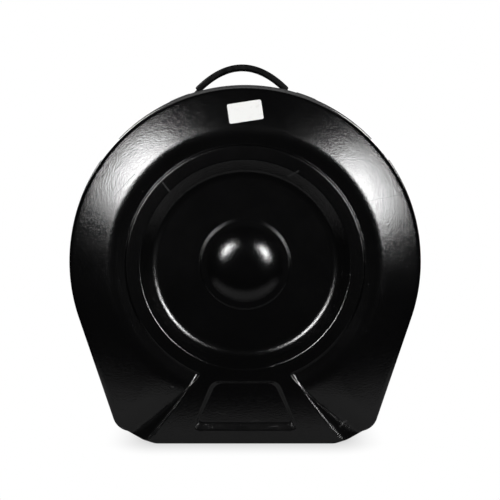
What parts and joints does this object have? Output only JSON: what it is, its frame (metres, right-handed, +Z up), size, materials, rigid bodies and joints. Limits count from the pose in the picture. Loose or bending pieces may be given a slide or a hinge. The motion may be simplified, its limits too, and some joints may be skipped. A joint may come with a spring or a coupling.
{
  "type": "cymbal hard case",
  "caption": "Round two-part hard case for cymbals on a flat foot, with a pressed ring face, strap handle, flush draw latches, foot hinges, foam rings and a threaded post.",
  "frame": {"origin": "middle of the standing foot, below the case's axis and half way between the front and back faces", "axes": "+X to the right seen from the front, -Y out of the front face, +Z up from the foot to the handle"},
  "size_m": [0.62, 0.15, 0.6592],
  "materials": {
    "moulded_shell": "black moulded polyethylene, satin gloss with fine grain",
    "grip_rubber": "black satin",
    "black_steel": "black coated",
    "spring_steel_strap": "black coated spring steel",
    "plated_steel": "zinc plated, satin",
    "pad_foam": "open foam, matt",
    "felt": "pressed wool felt",
    "post_sleeve": "black tube"
  },
  "bodies": {
    "back_shell": {"back_shell": "moulded_shell", "centre_post": "plated_steel", "flange_screw_1": "plated_steel", "flange_screw_2": "plated_steel", "flange_screw_3": "plated_steel", "flange_screw_4": "plated_steel", "foam_ring_back": "pad_foam", "seat_felt": "felt", "post_sleeve": "post_sleeve", "handle_cap_left": "plated_steel", "handle_cap_right": "plated_steel", "handle_rivet_left_inner": "plated_steel", "handle_rivet_left_outer": "plated_steel", "handle_rivet_right_inner": "plated_steel", "handle_rivet_right_outer": "plated_steel", "hinge_rear_leaf_left": "plated_steel", "hinge_rear_leaf_right": "plated_steel", "hinge_pin_left": "plated_steel", "hinge_pin_right": "plated_steel", "latch_base_left": "black_steel", "latch_base_right": "black_steel", "latch_pin_left": "plated_steel", "latch_pin_right": "plated_steel"},
    "lid": {"front_shell": "moulded_shell", "foam_ring_front": "pad_foam", "hinge_front_leaf_left": "plated_steel", "hinge_front_leaf_right": "plated_steel", "latch_keeper_left": "black_steel", "latch_keeper_right": "black_steel"},
    "latch_lever_left": {"latch_lever_left": "black_steel"},
    "latch_lever_right": {"latch_lever_right": "black_steel"},
    "latch_bail_left": {"latch_bail_left": "plated_steel"},
    "latch_bail_right": {"latch_bail_right": "plated_steel"},
    "handle": {"handle_grip": "grip_rubber", "handle_strap": "spring_steel_strap"},
    "hold_down": {"hold_down_felt": "felt", "cup_washer": "plated_steel"},
    "wing_nut": {"wing_nut": "plated_steel"}
  },
  "joints": [
    {"name": "lid_hinge", "type": "hinge", "parent": "back_shell", "child": "lid", "pos_m": [0, -0.015, 0.0085], "axis": [1, 0, 0], "range_deg": [0, 125]},
    {"name": "latch_lever_left_pivot", "type": "hinge", "parent": "back_shell", "child": "latch_lever_left", "pos_m": [-0.23326, 0.003, 0.50773], "axis": [0.6428, 0, 0.766], "range_deg": [0, 120]},
    {"name": "latch_lever_right_pivot", "type": "hinge", "parent": "back_shell", "child": "latch_lever_right", "pos_m": [0.23326, 0.003, 0.50773], "axis": [0.6428, 0, -0.766], "range_deg": [0, 120]},
    {"name": "latch_bail_left_pivot", "type": "hinge", "parent": "latch_lever_left", "child": "latch_bail_left", "pos_m": [-0.23211, 0.011, 0.50677], "axis": [0.6428, 0, 0.766], "range_deg": [-126.1, 0]},
    {"name": "latch_bail_right_pivot", "type": "hinge", "parent": "latch_lever_right", "child": "latch_bail_right", "pos_m": [0.23211, 0.011, 0.50677], "axis": [0.6428, 0, -0.766], "range_deg": [-126.1, 0]},
    {"name": "handle_lift", "type": "slide", "parent": "back_shell", "child": "handle", "axis": [0, 0, 1], "range_m": [0, 0.004], "stiffness_N_per_m": 2000, "deforming": ["handle_strap"]},
    {"name": "hold_down_slide", "type": "slide", "parent": "back_shell", "child": "hold_down", "axis": [0, -1, 0], "range_m": [0, 0.0101]},
    {"name": "wing_nut_spin", "type": "hinge", "parent": "hold_down", "child": "wing_nut", "pos_m": [0, -0.0136, 0.312], "axis": [0, -1, 0], "range_deg": [0, 2400]}
  ],
  "couplings": [
    {"joint": "latch_bail_left_pivot", "follows": "latch_lever_left_pivot", "ratio": -1.05},
    {"joint": "latch_bail_right_pivot", "follows": "latch_lever_right_pivot", "ratio": -1.05},
    {"joint": "hold_down_slide", "follows": "wing_nut_spin", "m_per_rad": 0.00023873}
  ]
}
